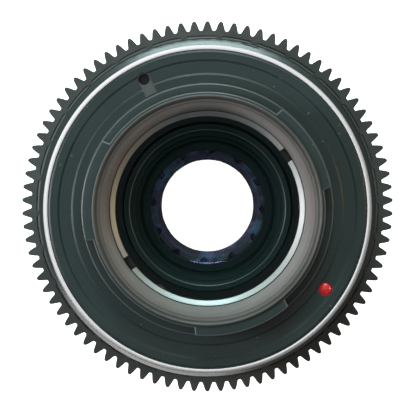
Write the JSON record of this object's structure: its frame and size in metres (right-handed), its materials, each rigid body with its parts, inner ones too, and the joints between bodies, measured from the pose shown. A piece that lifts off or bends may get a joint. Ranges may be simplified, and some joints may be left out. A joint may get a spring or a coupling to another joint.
{
  "type": "cinema prime lens",
  "caption": "Manual prime lens with a follow-focus gear, a cam that slides its optical block, a bladed iris worked by an aperture ring, and a bayonet camera mount.",
  "frame": {"origin": "centre of the front rim, in the plane of the rim", "axes": "+Z along the optical axis from the subject's side to the camera's side; +X to the right and +Y up as seen from the camera's side with the index bead at the lower right"},
  "size_m": [0.0704, 0.0704, 0.0775],
  "materials": {
    "body_black": "satin black anodised",
    "mount_black": "matt dark anodised mount",
    "gear_black": "moulded dark gear ring",
    "black_anodised": "matt black anodised inside",
    "grip_rubber": "matt rubber grip",
    "brass": "turned brass",
    "steel": "turned steel",
    "bright_ring": "bright turned retaining ring",
    "bright_bezel": "polished bezel",
    "grey_throat": "fine turned grey metal",
    "red_bead": "glossy red bead",
    "blade_steel": "blackened blade steel",
    "coated_glass": "coated optical glass"
  },
  "bodies": {
    "barrel": {"front_barrel": "body_black", "front_barrel_screws": "steel", "main_barrel": "black_anodised", "index_ring": "body_black", "index_ring_screws": "steel", "focus_stop_pin": "steel", "focus_thrust_ring": "brass", "mount_flange": "mount_black", "mount_set_screws": "steel", "index_bead": "red_bead", "throat_sleeve": "grey_throat", "throat_ring": "bright_ring"},
    "focus_ring": {"focus_ring": "body_black", "focus_grip": "grip_rubber", "focus_scale_ring": "body_black", "focus_gear": "gear_black", "focus_cam": "brass", "focus_cam_screws": "steel"},
    "iris_ring": {"iris_ring": "body_black", "iris_bezel": "bright_bezel", "iris_arm": "steel", "iris_arm_screw": "brass"},
    "optical_block": {"lens_tube": "black_anodised", "cam_followers": "steel", "front_retaining_ring": "black_anodised", "front_element": "coated_glass", "front_spacer": "black_anodised", "second_element": "coated_glass", "third_element": "coated_glass", "third_element_ring": "black_anodised", "iris_housing": "black_anodised", "iris_retaining_ring": "black_anodised", "rear_cell": "black_anodised", "rear_cell_screws": "steel", "rear_element": "coated_glass", "rear_cell_ring": "black_anodised"},
    "iris_rotor": {"iris_rotor": "black_anodised", "iris_drive_pin": "steel"},
    "iris_blade_01": {"iris_blade_01": "blade_steel"},
    "iris_blade_02": {"iris_blade_02": "blade_steel"},
    "iris_blade_03": {"iris_blade_03": "blade_steel"},
    "iris_blade_04": {"iris_blade_04": "blade_steel"},
    "iris_blade_05": {"iris_blade_05": "blade_steel"},
    "iris_blade_06": {"iris_blade_06": "blade_steel"},
    "iris_blade_07": {"iris_blade_07": "blade_steel"},
    "iris_blade_08": {"iris_blade_08": "blade_steel"},
    "iris_blade_09": {"iris_blade_09": "blade_steel"},
    "iris_blade_10": {"iris_blade_10": "blade_steel"},
    "iris_blade_11": {"iris_blade_11": "blade_steel"},
    "iris_blade_12": {"iris_blade_12": "blade_steel"}
  },
  "joints": [
    {"name": "focus_turn", "type": "hinge", "parent": "barrel", "child": "focus_ring", "pos_m": [0, 0, 0.034], "axis": [0, 0, 1], "range_deg": [0, 180]},
    {"name": "block_slide", "type": "slide", "parent": "barrel", "child": "optical_block", "axis": [0, 0, -1], "range_m": [0, 0.008]},
    {"name": "iris_turn", "type": "hinge", "parent": "barrel", "child": "iris_ring", "pos_m": [0, 0, 0.066], "axis": [0, 0, 1], "range_deg": [-6.9, 40.1]},
    {"name": "rotor_turn", "type": "hinge", "parent": "optical_block", "child": "iris_rotor", "pos_m": [0, 0, 0.0451], "axis": [0, 0, 1], "range_deg": [-6.9, 40.1]},
    {"name": "iris_blade_01_turn", "type": "hinge", "parent": "optical_block", "child": "iris_blade_01", "pos_m": [0.01329, 0.00234, 0.042], "axis": [0, 0, 1], "range_deg": [-3.3, 19.15]},
    {"name": "iris_blade_02_turn", "type": "hinge", "parent": "optical_block", "child": "iris_blade_02", "pos_m": [0.01034, 0.00868, 0.042], "axis": [0, 0, 1], "range_deg": [-3.3, 19.15]},
    {"name": "iris_blade_03_turn", "type": "hinge", "parent": "optical_block", "child": "iris_blade_03", "pos_m": [0.00462, 0.01269, 0.042], "axis": [0, 0, 1], "range_deg": [-3.3, 19.15]},
    {"name": "iris_blade_04_turn", "type": "hinge", "parent": "optical_block", "child": "iris_blade_04", "pos_m": [-0.00234, 0.01329, 0.042], "axis": [0, 0, 1], "range_deg": [-3.3, 19.15]},
    {"name": "iris_blade_05_turn", "type": "hinge", "parent": "optical_block", "child": "iris_blade_05", "pos_m": [-0.00868, 0.01034, 0.042], "axis": [0, 0, 1], "range_deg": [-3.3, 19.15]},
    {"name": "iris_blade_06_turn", "type": "hinge", "parent": "optical_block", "child": "iris_blade_06", "pos_m": [-0.01269, 0.00462, 0.042], "axis": [0, 0, 1], "range_deg": [-3.3, 19.15]},
    {"name": "iris_blade_07_turn", "type": "hinge", "parent": "optical_block", "child": "iris_blade_07", "pos_m": [-0.01329, -0.00234, 0.042], "axis": [0, 0, 1], "range_deg": [-3.3, 19.15]},
    {"name": "iris_blade_08_turn", "type": "hinge", "parent": "optical_block", "child": "iris_blade_08", "pos_m": [-0.01034, -0.00868, 0.042], "axis": [0, 0, 1], "range_deg": [-3.3, 19.15]},
    {"name": "iris_blade_09_turn", "type": "hinge", "parent": "optical_block", "child": "iris_blade_09", "pos_m": [-0.00462, -0.01269, 0.042], "axis": [0, 0, 1], "range_deg": [-3.3, 19.15]},
    {"name": "iris_blade_10_turn", "type": "hinge", "parent": "optical_block", "child": "iris_blade_10", "pos_m": [0.00234, -0.01329, 0.042], "axis": [0, 0, 1], "range_deg": [-3.3, 19.15]},
    {"name": "iris_blade_11_turn", "type": "hinge", "parent": "optical_block", "child": "iris_blade_11", "pos_m": [0.00868, -0.01034, 0.042], "axis": [0, 0, 1], "range_deg": [-3.3, 19.15]},
    {"name": "iris_blade_12_turn", "type": "hinge", "parent": "optical_block", "child": "iris_blade_12", "pos_m": [0.01269, -0.00462, 0.042], "axis": [0, 0, 1], "range_deg": [-3.3, 19.15]}
  ],
  "couplings": [
    {"joint": "block_slide", "follows": "focus_turn", "m_per_rad": 0.0025465},
    {"joint": "rotor_turn", "follows": "iris_turn", "ratio": 1},
    {"joint": "iris_blade_01_turn", "follows": "iris_turn", "ratio": 0.47619},
    {"joint": "iris_blade_02_turn", "follows": "iris_turn", "ratio": 0.47619},
    {"joint": "iris_blade_03_turn", "follows": "iris_turn", "ratio": 0.47619},
    {"joint": "iris_blade_04_turn", "follows": "iris_turn", "ratio": 0.47619},
    {"joint": "iris_blade_05_turn", "follows": "iris_turn", "ratio": 0.47619},
    {"joint": "iris_blade_06_turn", "follows": "iris_turn", "ratio": 0.47619},
    {"joint": "iris_blade_07_turn", "follows": "iris_turn", "ratio": 0.47619},
    {"joint": "iris_blade_08_turn", "follows": "iris_turn", "ratio": 0.47619},
    {"joint": "iris_blade_09_turn", "follows": "iris_turn", "ratio": 0.47619},
    {"joint": "iris_blade_10_turn", "follows": "iris_turn", "ratio": 0.47619},
    {"joint": "iris_blade_11_turn", "follows": "iris_turn", "ratio": 0.47619},
    {"joint": "iris_blade_12_turn", "follows": "iris_turn", "ratio": 0.47619}
  ]
}
